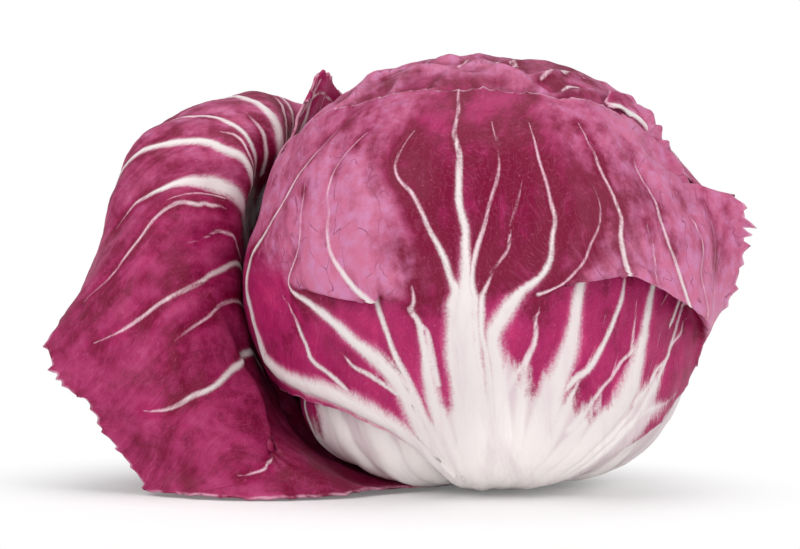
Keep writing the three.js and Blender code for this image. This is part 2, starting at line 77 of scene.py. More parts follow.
# Front leaf: each line's (angle round the head, rise, lift off the outline if any), then its rib's widths
# as (station, mm). Angle 0 is the front. The blade folds over itself at stations 5 and 6.
FRONT_LINES = [
    ([(-20, 9, 1.4), (-18, 28, 1.6), (-25, 44.5, .8), (-44, 54, .6), (-65, 57, 1.2), (-86, 60, 2),
      (-93, 77, 1.6), (-100, 94, -1.2), (-98, 106, -1.8), (-88, 122, -1.4), (-68, 138, -.6)], ()),
    ([(-17, 9, 1.4), (-15, 29, 1.6), (-23, 46, .8), (-41, 57, .8), (-60, 61, 1.6), (-79, 65, 3.2),
      (-84, 78, 2.8), (-80, 93, 1), (-71, 104, -1), (-62, 121, -1), (-52, 143, -.4)],
     ((0, 5), (2, 5), (3, 6), (4, 5), (4.6, 3), (4.9, 0))),
    ([(-15, 9, 1.4), (-14, 30, 1.6), (-22, 48, .8), (-44, 61), (-52, 67), (-54, 74), (-58, 81), (-62, 92),
      (-60, 104), (-57, 118), (-45, 145)],
     ((2.8, 0), (3, 1.5), (4, 1.5), (5, 1.2), (6, .8), (6.4, 0))),
    ([(-13, 9, 1.4), (-13, 30, 1.6), (-20, 45, .8), (-25, 62), (-35, 73, .5), (-47, 81.5, .5),
      (-55, 87, .5), (-52, 98), (-54, 110), (-53, 124), (-39, 147)],
     ((0, 5), (2, 5), (3, 6), (4, 3.4), (5, 1.8), (6, 1.1), (7, .6), (8, .5), (8.4, 0))),
    ([(-12, 9, 1.4), (-12, 30, 1.6), (-18, 46, .8), (-23, 62), (-32, 76, -1), (-41, 90, -3.5),
      (-42, 85.5, 1.2), (-46, 97, .5), (-49.5, 109), (-49, 124), (-35, 148)], ()),
    ([(-11, 9, 1.4), (-11, 30, 1.6), (-17, 46, .8), (-22, 62), (-27, 75, -1), (-30, 87, -3),
      (-29.5, 84, 1), (-40, 96, .5), (-44, 108), (-44, 123), (-30, 148.5)],
     ((0, 4), (2, 3), (3, 2), (4, 1.5), (5, 1.5), (6, 3), (6.4, 2.2), (7, 1.3), (8, .9), (9, .6),
      (9.4, 0))),
    ([(-10.5, 9, 1.4), (-10, 30, 1.6), (-16, 46, .8), (-20, 62), (-24, 75), (-26, 83, -.5), (-27, 88, .5),
      (-33.5, 98), (-31, 109), (-36, 122), (-26, 149)], ()),
    ([(-10, 9, 1.4), (-10, 30, 1.6), (-14, 48, .8), (-16.5, 63), (-18, 76), (-19, 82), (-19, 88),
      (-22, 100), (-25.5, 112), (-31, 124), (-22, 149)],
     ((0, 5), (2, 5), (3, 3.5), (4, 1.6), (5, 1.2), (6, .8), (6.1, 0))),
    ([(-8, 9, 1.4), (-8, 30, 1.6), (-9, 48, .8), (-9.5, 63), (-9.5, 76), (-9.5, 84), (-9.5, 91),
      (-15, 104), (-20, 113), (-26, 125), (-18, 149)],
     ((0, 4), (3, 4), (5, 4), (6, 2.6), (7, 1.6), (8, 1.1), (9, .7), (9.4, 0))),
    ([(-6, 9, 1.4), (-6, 28, 1.6), (-6, 48, .8), (-6, 64), (-7, 77), (-7, 84), (-6.5, 91), (-7, 104),
      (-9, 118), (-11, 133), (-14, 149)],
     ((0, 8), (3, 8), (5, 7), (6, 5), (6.6, 3.2), (7, 2.6), (8, 2), (9, 1.3), (10, .5))),
    ([(-5, 9, 1.4), (-4, 28, 1.6), (-3, 48, .8), (-3.5, 64), (-4.5, 77), (-4.5, 84), (-5, 93),
      (-2.5, 106), (1, 118), (.5, 130), (-3, 149)],
     ((0, 4), (4, 3), (6, 1.8), (7, 1), (8, .8), (9, .6), (9.4, 0))),
    ([(-3.5, 9, 1.4), (-2, 28, 1.6), (0, 48, .8), (-1, 64), (-3, 77), (-3, 85), (-1.5, 90), (2.5, 99),
      (6, 113), (8, 130), (4, 149)],
     ((0, 4), (3, 3), (5, 1.4), (6, .9), (7, .7), (8, .5), (8.3, 0))),
    ([(-2, 9, 1.4), (0, 28, 1.6), (3, 46, .8), (1, 62), (0, 75), (4, 85), (11, 92), (13.5, 102),
      (14, 112), (12, 126), (10, 148)],
     ((0, 5), (3, 5), (4, 4.4), (5, 3.8), (6, 2.4), (7, 1.6), (8, 1), (9, .7), (9.5, 0))),
    ([(0, 9, 1.4), (3, 28, 1.6), (7, 46, .8), (7.5, 62), (9, 73, -.5), (11, 84, -1), (15, 90), (18, 101),
      (19, 112), (17, 127), (15, 148)],
     ((0, 5), (1.6, 4), (2.4, 2.6), (3, 1.8), (4, 1.2), (4.6, .8), (4.9, 0))),
    ([(3, 9, 1.4), (7, 28, 1.6), (12, 46, .8), (16, 61, -.5), (19.5, 74, -2), (22, 94, -3), (21, 90, 1.5),
      (24, 100, 1), (25, 112, .5), (21, 128), (21, 147.5)],
     ((0, 6), (2, 6), (3, 6.6), (3.6, 5.4), (4.2, 3.4), (4.8, 2.4), (5.1, 0))),
    ([(6, 9, 1.4), (11, 28, 1.6), (17, 46, .8), (22, 62, -.5), (28, 75, -3), (32, 97, -4), (31, 91, 3),
      (30, 101, 1.6), (31, 112, .6), (28, 125, .5), (28, 146)],
     ((0, 4), (2, 4), (2.6, 2.6), (3.2, 0), (5.2, 0), (5.7, 1.4), (6, 1.7), (7, 1.6), (8, 1.1), (9, .7),
      (9.6, 0))),
    ([(9, 9, 1.4), (15, 28, 1.6), (24, 46, .8), (31, 60, -.5), (35.5, 72, -3.5), (38, 95, -4.6),
      (39, 87.5, 3.6), (38, 98, 2.2), (38, 110, 1), (36, 125, .5), (37, 145.5)],
     ((0, 6), (2, 5), (2.4, 2), (2.6, 0), (5.4, 0), (6, .7), (7, .6), (7.6, 0))),
    ([(12, 9, 1.4), (20, 28, 1.6), (31, 46, .8), (39.5, 58, -1), (43, 71, -4), (46, 90, -5), (49, 82, 4),
      (45.5, 93, 2.6), (43.5, 106, 1.2), (42, 120), (45, 143.5, -.2)],
     ((0, 7), (2, 7), (2.6, 8), (3.2, 8.4), (3.7, 5), (4.2, 3), (4.8, 1.6), (5.6, 1.6), (6, 2.2),
      (7, 1.5), (8, 1.2), (9, .6), (9.5, 0))),
    ([(15, 9, 1.4), (25, 28, 1.6), (37, 44, .8), (46, 56, -1), (50, 68, -4), (53, 86, -5.5),
      (57, 78, 3.5), (55, 90, 2.6), (57, 103, 1), (54, 118), (53, 141.5, -.4)],
     ((0, 5), (2, 4), (2.5, 2), (2.8, 0), (5.4, 0), (6, 1), (7, .9), (8, .7), (8.8, 0))),
    ([(18, 9, 1.4), (29, 27, 1.6), (41, 43, .8), (50, 54, -1), (56, 65, -3.5), (60, 80, -5), (64, 74, 2),
      (64, 89, 1), (65, 102, 1.6), (64, 115, 1.4), (61, 138, -.4)],
     ((0, 4), (2, 3.4), (2.8, 2), (3.4, 1.8), (4.2, 1.2), (4.8, .8), (5.6, .6), (6, .8), (7, .7), (8, .5),
      (8.6, 0))),
    ([(21, 9, 1.4), (33, 26, 1.6), (47, 41, .8), (63, 50), (73, 57.5, -.8), (74, 65, -1.8), (72, 74, -.5),
      (74, 88, 1.5), (75, 99, 2.6), (74, 109, 4.4), (69, 129)], ()),
]
# Veins of the front leaf that leave its lines: each a list of (line, station, width)
FRONT_VEINS = [
    [(1, 4, 5), (1.08, 4.6, 5), (1.17, 5, 5), (1.22, 5.6, 5), (1.22, 6.3, 4), (1.22, 7, 2.2),
     (1.25, 8, 1.5), (1.3, 9, 1.1), (1.4, 9.6, 0)],
    [(3.1, 2.6, 2), (2.75, 3, 1.6), (2.6, 3.5, 1.3), (2.6, 4.1, 0)],
    [(7.3, 3, 1.5), (7.2, 4, 1.1), (6.9, 4.8, .8), (6.8, 5.2, 0)],
    [(12.6, 5.4, 1), (13.2, 6, .8), (13.6, 6.6, .7), (14, 7.4, .5), (14.2, 8.4, 0)],
    [(14.6, 3, 2), (15.1, 3.3, 1.8), (15.3, 3.9, 1.4), (15.5, 4.4, 1.2), (15.6, 4.8, 0)],
    [(15.6, 2.3, 2), (15.8, 2.8, 1.2), (16, 3.3, .9), (16.3, 3.7, .9), (16.7, 3.85, 1.2), (17.2, 3.6, 0)],
    [(16.6, 3.8, 1), (16.4, 4.1, .7), (16.3, 4.5, 0)],
    [(17.9, 3, 2.4), (18.5, 3.4, 1.3), (18.9, 4, 1.1), (19.2, 4.5, .8), (19.3, 4.9, 0)],
    [(18.6, 2.3, 1.6), (19.1, 2.9, 1.2), (19.6, 3.3, .8), (19.8, 3.7, 0)],
    [(12.4, 3, 1.6), (12.9, 3.5, 1.2), (13.1, 4.2, 0)],
]

UPPER_RIBS = 0.68  # the share of their width that the front leaf's ribs keep above its folds
FRONT_FOLD = 5.5  # the station of the folds
# How far up from the stem the front leaf is white, at these lines
FRONT_WHITE = (0, 5, 8, 10.5, 12, 14, 16, 18.5, 20), (47, 50, 57, 62, 68, 62, 57, 64, 60)
# The torn teeth of the front leaf's right margin: (station, height, width)
TORN_TEETH = [(6.4, 4.5, 3.6), (6.75, 3, 2.6), (7.3, 3, 3), (7.7, 4.5, 3), (8.05, 5.5, 3.2),
              (8.4, 6, 3.4), (8.8, 3, 4), (9.1, 4.5, 3), (9.3, 2, 2), (9.6, 3.4, 2.4)]

# Splayed leaf: each line's points, then its rib's widths. The first line lies on the floor and the last is
# at the back.
SPLAYED_LINES = [
    ([(-7.6, -9, 1.5), (-17, -18, 1.7), (-30, -27, 2), (-39, -34, 1.4), (-51, -38, 1), (-62, -39, .8),
      (-73, -37, 1), (-82, -33, 1.2), (-91, -27, 1.4)], ()),
    ([(-9.4, -7.6, 1.5), (-21, -16, 1.8), (-36, -22, 2.8), (-56, -26, 13.5), (-58, -29.5, 10.5),
      (-60, -33, 8), (-67, -35, 6.5), (-80, -33, 8.5), (-99, -23, 12)],
     ((4, 0), (4.3, .9), (5, .7), (5.6, .5), (6, 0))),
    ([(-11.2, -4.6, 1.5), (-32, -8, 2.6), (-52, -4, 12.5), (-60, 3.5, 28), (-64.5, -6, 37),
      (-69, -18, 33), (-79, -28, 26), (-89, -31, 23), (-107, -22, 24)],
     ((3, 0), (3.4, 1.3), (4, 1.7), (5, 1.6), (6, 1.2), (6.8, .7), (7.2, 0))),
    ([(-11.8, -2.8, 1.5), (-35, -3.5, 3.4), (-55, 3.4, 18), (-62.5, 10, 39), (-67, -3, 49),
      (-72, -13, 49), (-79, -22, 45), (-89, -28, 38), (-112, -19, 27)],
     ((3.4, .6), (4, .8), (5, .7), (6, .6), (6.6, 0))),
    ([(-12, -1.2, 1.5), (-36, 1.2, 4.4), (-56, 8, 24), (-65, 13, 47), (-67.4, 0, 59), (-74, -11, 57),
      (-83, -20, 54), (-96, -26, 45), (-117.5, -13, 34.5)],
     ((3.4, .8), (4, 1.3), (5, 1.2), (6, 1), (7, .7), (7.5, 0))),
    ([(-12, .4, 1.5), (-37, 5.2, 4.7), (-58, 11, 29), (-66, 16, 56), (-67.4, 2, 71), (-75, -5, 76),
      (-87, -11, 75), (-98, -16, 62), (-117, -8, 42)],
     ((4.5, 0), (4.9, .9), (5.3, 1), (6, .8), (7, .7), (7.6, 0))),
    ([(-12, 2, 1.5), (-37, 9, 5), (-58, 15, 31), (-66, 18, 60), (-66.4, 5, 75), (-74.5, 1, 81),
      (-86, -3, 81), (-98.5, -2, 73), (-112, 4, 49)],
     ((3.4, 1.5), (4, 3.2), (4.5, 3.8), (5, 4.2), (5.6, 3), (6, 1.8), (6.6, 1), (7.2, 0))),
    ([(-11.6, 3.4, 1.5), (-36, 14, 5), (-57, 20, 33), (-66, 20, 65), (-64.4, 6, 83), (-71, 5, 90),
      (-83, 6, 92), (-99, 9, 86.5), (-106, 22, 61)],
     ((3.4, .8), (4, 2.2), (5, 2.5), (6, 2.2), (7, 1.8), (7.6, .8), (7.9, 0))),
    ([(-11, 5, 1.5), (-34, 18, 5), (-56, 25, 35), (-64, 24, 68), (-63.4, 10, 88), (-69, 12, 97),
      (-81.5, 18, 98.5), (-93.5, 30, 92.5), (-101, 37, 66)],
     ((3.6, .6), (4, 1.3), (5, 1.4), (6, 1), (6.6, .6), (7, 0))),
    ([(-10.4, 6.4, 1.5), (-31, 23, 5), (-54, 32, 37), (-61, 30, 70), (-56.4, 19, 89), (-61, 22, 100.5),
      (-73.5, 36, 102.5), (-87.5, 47, 88.5), (-95, 52, 64)],
     ((3.2, 1), (3.8, 3.6), (4.4, 3.6), (5, 3), (5.6, 2.2), (6.4, 1.4), (7, 0))),
    ([(-9.4, 7.6, 1.5), (-27, 27, 5), (-50, 40, 37), (-58, 38, 68), (-54, 29, 91), (-55, 33, 100.5),
      (-61, 47, 101.5), (-72, 58, 85), (-80, 64, 62)],
     ((3.6, .8), (4, 1), (5, .9), (6, .6), (6.6, 0))),
    ([(-8, 9.2, 1.5), (-22, 30, 5), (-42, 48, 36), (-53, 47, 64), (-48, 41, 90), (-49, 45, 99),
      (-53, 57, 94), (-59, 67, 79), (-65, 73, 60)], ()),
]
# Short veins between the splayed leaf's ribs
SPLAYED_VEINS = [
    [(4.2, 3.8, .7), (4.5, 4.2, .8), (4.6, 4.8, .6), (4.5, 5.6, 0)],
    [(5.5, 4.6, .7), (5.4, 5.2, .6), (5.2, 6, 0)],
    [(7.5, 3.9, 1), (7.6, 4.8, .7), (7.5, 5.4, 0)],
    [(8.4, 3.6, 1.4), (8.5, 4.4, 1), (8.5, 5.2, 0)],
    [(9.5, 3.8, 1), (9.7, 5, .8), (9.8, 5.8, 0)],
]

# The leaves under and behind the front leaf, with lines like its own. The next one in, at the lower left:
LOWER_LEFT_LINES = [
    ([(-78, 9), (-84, 20, .9), (-88, 30, 1.8), (-89, 40, 4.6), (-88, 48, 6), (-85, 56, 3.2),
      (-80, 63, .6)], ()),
    ([(-66, 9, .8), (-70, 20, 2.4), (-73, 32, 4), (-74, 43, 6.6), (-74, 52, 5), (-72, 61, 1.2),
      (-68, 70)],
     ((0, 5), (2, 4), (3, 2.6), (4, 1.6), (5, .8), (6, 0))),
    ([(-54, 9, 1.2), (-57, 20, 3.6), (-59, 32, 5), (-60, 43, 4.4), (-60, 52, 1.4), (-58, 62), (-55, 74)],
     ((0, 8), (2, 8), (3, 7), (4, 6), (5, 3), (6, 1))),
    ([(-42, 9, 1.6), (-43, 20, 4), (-44, 32, 4.8), (-44, 42, 2), (-44, 52), (-43, 64), (-41, 76)],
     ((0, 9), (2, 9), (3, 9), (4, 8), (5, 4), (6, 2))),
    ([(-30, 9, 1.4), (-29, 20, 3.2), (-29, 31, 2.6), (-28, 43, .4), (-28, 54), (-27, 66), (-26, 78)],
     ((0, 9), (2, 9), (3, 9), (4, 7), (5, 4), (6, 2))),
    ([(-18, 9, .5), (-15, 20, 1), (-14, 31, .4), (-14, 43), (-14, 54), (-13, 66), (-13, 78)],
     ((0, 8), (2, 8), (4, 6), (6, 2))),
    ([(-6, 9), (-2, 20), (0, 31), (0, 43), (0, 54), (0, 66), (0, 76)], ()),
]

# The next one in, at the right:
RIGHT_LINES = [
    ([(22, 9), (24, 20), (26, 32), (30, 44), (36, 56), (42, 70), (50, 84), (60, 96)], ()),
    ([(40, 9, .6), (42, 20, 2), (45, 32, 1.8), (48, 43, .2), (50, 56), (54, 72), (60, 90), (68, 106)],
     ((0, 8), (2, 5), (4, 2), (6, 1), (7, 0))),
    ([(58, 9, 1.2), (60, 20, 3.4), (62, 32, 4), (65, 43, 2.2), (66, 54, .5), (68, 72), (72, 94),
      (78, 114)],
     ((0, 9), (1, 8), (2, 5.5), (3, 4), (4, 2.4), (5, 1.4), (6, 1), (6.6, 0))),
    ([(76, 9, 1.2), (78, 20, 3.6), (80, 33, 4.4), (81, 45, 3.8), (82, 58, 2.4), (83, 74, .6), (85, 96),
      (88, 118)],
     ((0, 10), (1, 9), (2, 7), (3, 5), (4, 3.4), (5, 2.2), (6, 1.2), (7, .4))),
    ([(92, 9, .6), (92, 20, 2), (93, 33, 2.6), (94, 45, 2.2), (95, 59, 1.6), (96, 75, .8), (97, 97, .4),
      (98, 120)],
     ((0, 8), (1, 7), (2, 5), (3, 3), (4, 2), (5, 1.2), (6, .8), (6.8, 0))),
    ([(112, 9), (112, 20), (112, 33), (112, 46, .2), (112, 60, .2), (112, 76), (110, 97), (108, 116)],
     ((0, 6), (2, 3), (4, 1.4), (6, 0))),
    ([(130, 9), (130, 20), (130, 33), (129, 46), (128, 60), (127, 75), (124, 92), (120, 108)],
     ((0, 5), (2, 2.4), (4, 1), (6, 0))),
    ([(148, 9), (148, 20), (147, 32), (146, 44), (144, 57), (142, 71), (138, 86), (132, 98)], ()),
]

# The leaf whose pointed tip stands up at the back left:
TIP_LINES = [
    ([(-109, 9), (-110, 24), (-111, 42), (-111, 64), (-110, 88), (-104, 112), (-106, 126, 1),
      (-110, 133, 4), (-113, 135, 6.5)], ()),
    ([(-119, 9), (-120, 24), (-121, 42), (-121, 64), (-120, 88), (-113, 112), (-112, 127, 1.5),
      (-115, 134, 5.5), (-117, 139, 9.5)], ((0, 5), (4, 3), (6, 1.6), (7, .8), (8, 0))),
    ([(-129, 9), (-130, 24, -.4), (-131, 42, -.3), (-131, 64), (-130, 88), (-123, 112), (-121, 128, 1.5),
      (-122, 135, 5.5), (-122, 139, 9)], ((0, 4), (4, 2), (6, .8), (7, 0))),
    ([(-139, 9), (-139, 24, -.5), (-140, 42, -.4), (-140, 64), (-140, 87), (-134, 112), (-133, 126, 1),
      (-131, 133, 4), (-128, 136, 6)], ()),
]

# The leaf whose margin comes round from the back over the right shoulder:
BACK_RIGHT_LINES = [
    ([(110, 9), (105, 24), (102, 42), (101, 64), (98, 88), (91, 104, -.4), (83, 118, -.9), (77, 130, -1),
      (71, 139, -.9), (63, 143.5, -.8), (53, 145.5, -.8)], ()),
    ([(117, 9), (113, 24, .3), (110, 42, .3), (109, 64, .3), (107, 88, .3), (105, 104, .3), (101, 118),
      (94, 131, -.1), (80, 140.5, -.2), (67, 145.5, -.3), (55, 147.5, -.6)],
     ((0, 4), (4, 3), (6, 2), (7, 1), (7.6, 0))),
    ([(126, 9), (124, 24, .5), (122, 42, .6), (122, 64, .6), (121, 88, .6), (120, 104, .6),
      (117, 118, .5), (110, 131, .4), (97, 141, .4), (81, 147, .4), (62, 149.5, .3)],
     ((0, 6), (4, 3), (6, 2), (8, 1), (9, 0))),
    ([(142, 9), (144, 24, .5), (145, 42, .6), (145, 64, .6), (144, 88, .6), (143, 104, .6),
      (139, 118, .5), (131, 130, .4), (118, 140, .3), (99, 146, .2), (73, 150, .2)],
     ((0, 5), (4, 2.4), (6, 1.4), (8, 0))),
    ([(158, 9), (164, 24), (168, 42), (171, 64), (171, 88), (169, 104), (164, 117), (155, 128),
      (140, 137), (120, 143), (86, 149)], ()),
]

# The thick white rib along the back right leaf's front margin
SHOULDER_RIB = [(0.45, 6.4, 1), (0.28, 7.2, 2.4), (0.25, 8, 3.2), (0.25, 8.8, 3), (0.3, 9.5, 1.8),
                (0.4, 10, .6)]

# The pale rib along the lower left leaf's outer margin
CORNER_RIB = [(0.35, 1, 2), (0.22, 2, 2.4), (0.2, 3, 2.2), (0.25, 4, 1.2), (0.4, 5, 0)]

# A vein across the tip leaf's point
TIP_VEINS = [[(0.2, 6.6, .8), (0.8, 7.1, .9), (1.6, 7.2, .9), (2.6, 6.9, .7)]]

# Crown leaf, which wraps over the top: (way along its midrib and half width, both in degrees, and lift)
CROWN = [(9, 20, 0), (25, 40, 0), (45, 57, 0), (70, 67, 0), (95, 72, 0), (120, 74, .2), (145, 72, 1.2),
         (165, 68, 1.8), (185, 58, 2), (205, 46, 1), (222, 34, -1)]
# The creases of its crest: (station, height, width, wiggle, the wiggle's phase)
CREST_RIDGES = [(7.1, 1, .14, .25, 5), (7.5, 1.4, .16, .35, 0), (7.9, 1.2, .12, .3, 1),
                (8.3, 1.8, .15, .4, 2), (8.7, 1.6, .12, .35, 3), (9.1, 1.5, .14, .3, 4)]
# The pale veins on its crest
CREST_VEINS = [
    [(0.9, 8.3, .7), (0.92, 8, .9), (0.91, 7.7, .6)],
    [(0.79, 8.72, .5), (0.77, 8.5, .8), (0.76, 8.27, 1), (0.735, 8.22, .9), (0.715, 8.25, 1),
     (0.7, 7.95, .8), (0.64, 8.05, .6), (0.6, 8.15, 0)],
    [(0.68, 8.84, .6), (0.66, 8.6, 1), (0.62, 8.5, .7)],
    [(1.4, 8, 0), (1.32, 7.98, .6), (1.25, 7.88, .7), (1.19, 7.75, .5)],
    [(1.17, 8.45, 0), (1.13, 8.42, .6), (1.08, 8.12, .6), (1.04, 8.25, .6), (0.99, 8.4, .5),
     (0.95, 8.12, .6), (0.91, 8.35, .5), (0.85, 8.6, 0)],
    [(0.66, 7.9, .5), (0.58, 7.95, .7), (0.5, 8.1, .5)],
]


def ramp(value, reach):
    """0 up to 0, 1 from reach on, and straight between."""
    return np.clip(value / reach, 0, 1)


def bell(value, reach):
    """1 at 0, falling off smoothly on both sides over reach."""
    return np.exp(-((value / reach) ** 2))


def basis(t, count):
    """Each t's weights on count evenly spaced values, for a smooth curve through them."""
    t = np.clip(np.asarray(t, float), 0, count - 1)
    i = np.minimum(t.astype(int), count - 2)
    s = (t - i)[..., None]
    values = np.eye(count)
    slopes = np.gradient(values, axis=0)
    return ((2 * s**3 - 3 * s**2 + 1) * values[i] + (s**3 - 2 * s**2 + s) * slopes[i]
            + (3 * s**2 - 2 * s**3) * values[i + 1] + (s**3 - s**2) * slopes[i + 1])


def outline(rise):
    """The head's radius and height at a rise, in degrees round its side from the stem to the top."""
    return basis(np.clip(rise, 0, 180) / OUTLINE_STEP, len(OUTLINE)) @ OUTLINE


def on_head(angle, rise, lift, size):
    """The point at an angle and a rise on the head, shrunk to a layer's size and lifted off its surface."""
    middle, below, above = outline(rise), outline(rise - 0.5), outline(rise + 0.5)
    (side, side_reach), (high, high_reach) = SHOULDER
    turned = (angle - side + 180) % 360 - 180
    flattened = SHOULDER_DEPTH * bell(turned, side_reach) * bell(rise - high, high_reach)
    size = size * (1 - flattened * size**2)
    run, climb = np.moveaxis(above - below, -1, 0)
    length = np.hypot(run, climb)
    out = middle[..., 0] * size + climb / length * lift
    up = SHRINK_HEIGHT + (middle[..., 1] - SHRINK_HEIGHT) * size - run / length * lift
    turn = np.radians(angle)
    return np.stack([out * np.sin(turn), -out * np.cos(turn), up], -1)


class Net:
    """A leaf's surface through a net of lines: on the head if it has a size, else through free points."""

    def __init__(self, lines, size=None):
        self.values = np.array([[(*point, 0)[:3] for point in line] for line in lines], float)
        self.size = size
        self.across, self.stations = self.values.shape[0] - 1, self.values.shape[1] - 1

    def at(self, u, v):
        u, v = np.broadcast_arrays(u, v)
        weights_u = basis(u, self.across + 1)
        weights_v = basis(v, self.stations + 1)
        values = np.einsum("...l,lsc,...s->...c", weights_u, self.values, weights_v, optimize=True)
        if self.size is None:
            return values
        return on_head(values[..., 0], values[..., 1], values[..., 2], self.size)


class OverTop:
    """A leaf that wraps over the head: (way along its midrib, half width, lift) at each station."""

    def __init__(self, stations, midrib, size):
        self.values = np.array(stations, float)
        self.midrib, self.size = midrib, size
        self.across, self.stations = 2, len(stations) - 1

    def at(self, u, v):
        u, v = np.broadcast_arrays(u, v)
        way, half, lift = np.moveaxis(basis(v, self.stations + 1) @ self.values, -1, 0)
        share = u - 1
        way, side = np.radians(way), np.radians(share * half)
        forward = np.cos(side) * np.sin(way)
        down = np.cos(side) * np.cos(way)
        angle = self.midrib + np.degrees(np.arctan2(np.sin(side), forward))
        rise = np.degrees(np.arccos(np.clip(down, -1, 1)))
        return on_head(angle, rise, lift * (1 - share**2), self.size)


def spaced(surface, count, cell, along_u):
    """Positions along u or v, about a cell apart over nearly all of the leaf."""
    fine = 12
    other = np.linspace(0, surface.stations if along_u else surface.across, 40)
    own = np.linspace(0, count, count * fine + 1)
    if along_u:
        points = surface.at(own[:, None], other[None, :])
    else:
        points = surface.at(other[None, :], own[:, None])
    steps = np.quantile(np.linalg.norm(np.diff(points, axis=0), axis=-1), 0.85, axis=1)
    lengths = steps.reshape(count, fine).sum(1)
    stops = [0.0]
    for i, length in enumerate(lengths):
        parts = max(1, round(length / cell))
        stops += [i + (k + 1) / parts for k in range(parts)]
    return np.array(stops)


def ways(points):
    """For each point of a leaf's grid, the way across from the midline and the way along from the stem."""
    steps_along = np.linalg.norm(np.diff(points, axis=0), axis=-1)
    steps_across = np.linalg.norm(np.diff(points, axis=1), axis=-1)
    rows, columns = points.shape[:2]
    along = np.concatenate([np.zeros((1, columns)), np.cumsum(steps_along, 0)])
    across = np.concatenate([np.zeros((rows, 1)), np.cumsum(steps_across, 1)], 1)
    return across - across[:, [columns // 2]], along


def normals(points):
    """Unit normals of a grid of points, outwards."""
    across = np.gradient(points, axis=1)
    along = np.gradient(points, axis=0)
    n = np.cross(across, along)
    return n / np.maximum(np.linalg.norm(n, axis=-1, keepdims=True), 1e-9)


def soft_noise(points, wavelength, seed, octaves=2):
    """Smooth noise from about -1 to 1 at each point."""
    shift = Vector((seed * 17.3, seed * 5.1, seed * 9.7))
    flat = points.reshape(-1, 3) / wavelength
    out = [noise.fractal(Vector(p) + shift, 1.0, 2.0, octaves) for p in flat]
    return np.array(out).reshape(points.shape[:-1])


def rib_fields(points, v, surface, ribs):
    """For each point: how far inside a rib it is, the rib's height there, the way to the nearest rib, and
    that rib's half width."""
    flat = np.concatenate([points.reshape(-1, 3), STATION_REACH * np.ravel(v)[:, None]], 1)
    inside = np.full(len(flat), -99.0)
    height = np.zeros(len(flat))
    away = np.full(len(flat), 99.0)
    wide = np.zeros(len(flat))
    for rib in ribs:
        rib = np.array(rib, float)
        knots = np.linspace(0, len(rib) - 1, len(rib) * 24)
        path = basis(knots, len(rib)) @ rib
        u_path, v_path = path[:, 0], path[:, 1]
        half = np.maximum(np.interp(knots, range(len(rib)), rib[:, 2]) / 2, 1e-3)
        line = np.concatenate([surface.at(u_path, v_path), STATION_REACH * v_path[:, None]], 1)
        low, high = line.min(0) - RIB_REACH, line.max(0) + RIB_REACH
        near = np.nonzero(np.all((flat > low) & (flat < high), axis=1))[0]
        if not len(near):
            continue
        here = flat[near]
        square = (here**2).sum(1)[:, None] + (line**2).sum(1)[None, :] - 2 * here @ line.T
        closest = square.argmin(1)
        best = np.full(len(near), 1e9)
        width = half[closest]
        for step in (-1, 0):
            first = np.clip(closest + step, 0, len(line) - 2)
            start, edge = line[first], line[first + 1] - line[first]
            share = ((here - start) * edge).sum(1) / np.maximum((edge**2).sum(1), 1e-9)
            share = np.clip(share, 0, 1)
            distance = np.linalg.norm(here - start - edge * share[:, None], axis=1)
            closer = distance < best
            best = np.where(closer, distance, best)
            width = np.where(closer, half[first] + (half[first + 1] - half[first]) * share, width)
        deeper = width - best > inside[near]
        inside[near] = np.where(deeper, width - best, inside[near])
        wide[near] = np.where(deeper, width, wide[near])
        height[near] = np.maximum(height[near], (width**2 - best**2) / width)
        away[near] = np.minimum(away[near], best)
    shape = points.shape[:-1]
    return [field.reshape(shape) for field in (inside, height, away, wide)]


def line_rib(u, widths, stations):
    """A rib along a line of the net, from its (station, width) list."""
    start, end = widths[0][0], widths[-1][0]
    places = sorted({*[w[0] for w in widths], *[s for s in range(stations + 1) if start < s < end]})
    known = np.array(widths, float)
    return [(u, v, np.interp(v, known[:, 0], known[:, 1])) for v in places]


def line_ribs(lines, stations):
    """The ribs along a net's lines, where a line has widths."""
    return [line_rib(i, widths, stations) for i, (_, widths) in enumerate(lines) if widths]


def wavy(rib, seed, reach=0.06):
    """A rib with small bends, reach in lines of the net."""
    draw = random.Random(seed)
    path = np.array(rib, float)
    places = np.linspace(0, len(path) - 1, 2 * len(path) - 1)
    out = np.array([np.interp(places, range(len(path)), path[:, k]) for k in range(3)]).T
    for k in range(1, len(out) - 1):
        out[k, 0] += draw.uniform(-reach, reach) * min(1, abs(out[k + 1, 1] - out[k - 1, 1]))
    return [tuple(point) for point in out]


def side_veins(ribs, seed, count, spread, climb):
    """Thin veins that leave ribs on both sides; spread and climb are in lines and stations of the net."""
    draw = random.Random(seed)
    veins = []
    for rib in ribs:
        columns = list(zip(*rib))
        for k in range(count):
            start = draw.uniform(0.3, 0.85) * (len(rib) - 1)
            u, v, wide = [np.interp(start, range(len(rib)), column) for column in columns]
            side = 1 if k % 2 else -1
            reach, rise = spread * draw.uniform(0.6, 1.2), climb * draw.uniform(0.5, 1.2)
            thin = min(0.6 * wide, draw.uniform(0.6, 1.1))
            if thin > 0.5:
                veins.append([(u + side * reach * math.sin(t * 1.3), v + rise * t,
                               max(thin * (1 - t), 0.55)) for t in (0, 0.3, 0.65, 1)])
    return veins


